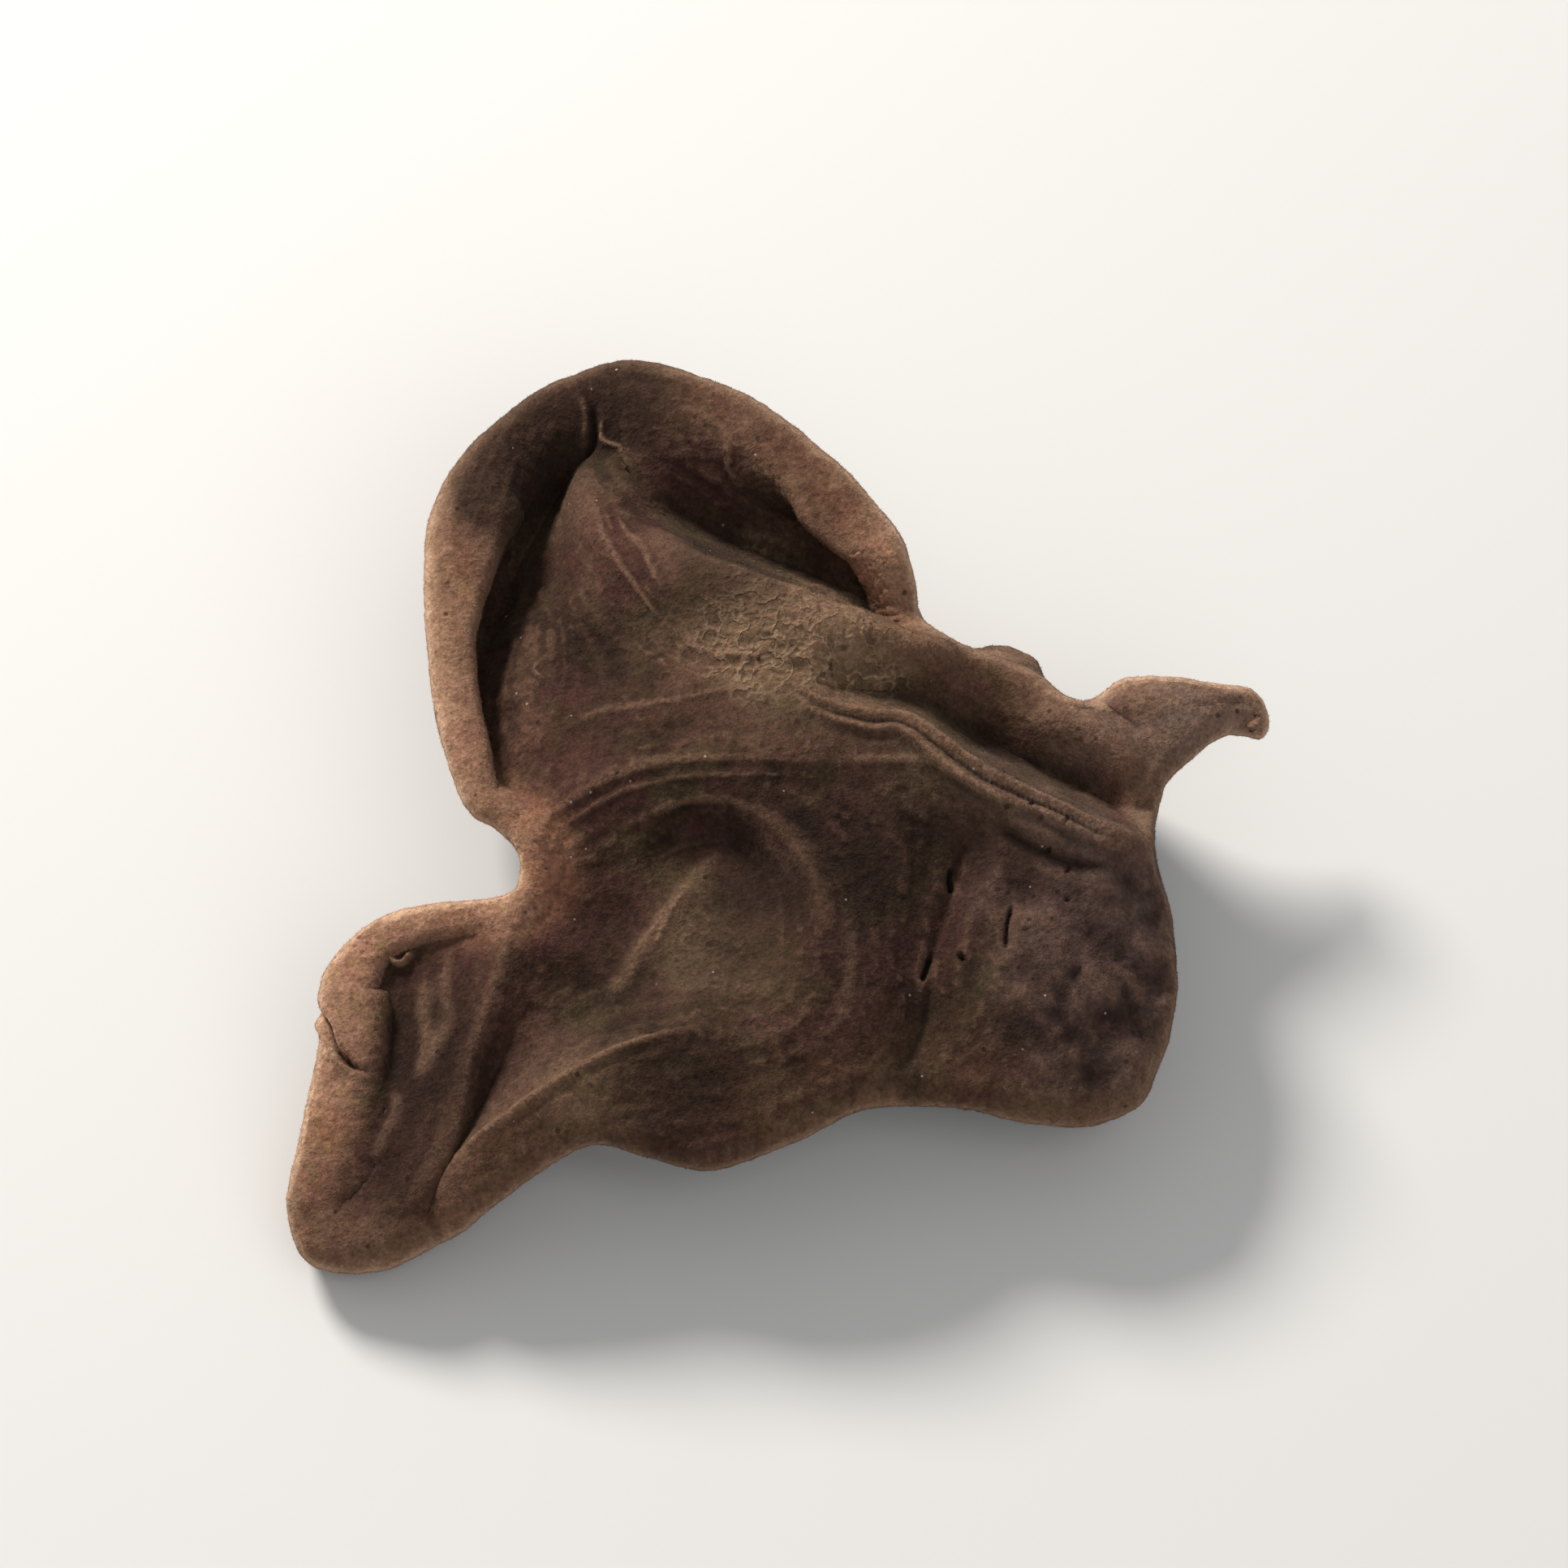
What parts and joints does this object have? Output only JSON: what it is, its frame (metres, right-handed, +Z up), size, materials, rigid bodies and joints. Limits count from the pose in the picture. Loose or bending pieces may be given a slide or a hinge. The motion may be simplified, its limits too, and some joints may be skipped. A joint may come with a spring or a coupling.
{
  "type": "dried wood ear mushroom",
  "caption": "Crumpled, ear-shaped sheet of dried fungus with a rolled rim and an open hollow beneath, lying felt side up on its curled margin.",
  "frame": {"origin": "on the ground, under the middle of the bounding box", "axes": "+Z up, +X to the right and +Y away from the viewer who faces the felted side as pictured"},
  "size_m": [0.068, 0.0714, 0.0196],
  "materials": {
    "dried_flesh": "tan-brown felted outer skin, with a smooth, dark, glossy inner face"
  },
  "bodies": {
    "root": {"mushroom": "dried_flesh"}
  },
  "joints": []
}
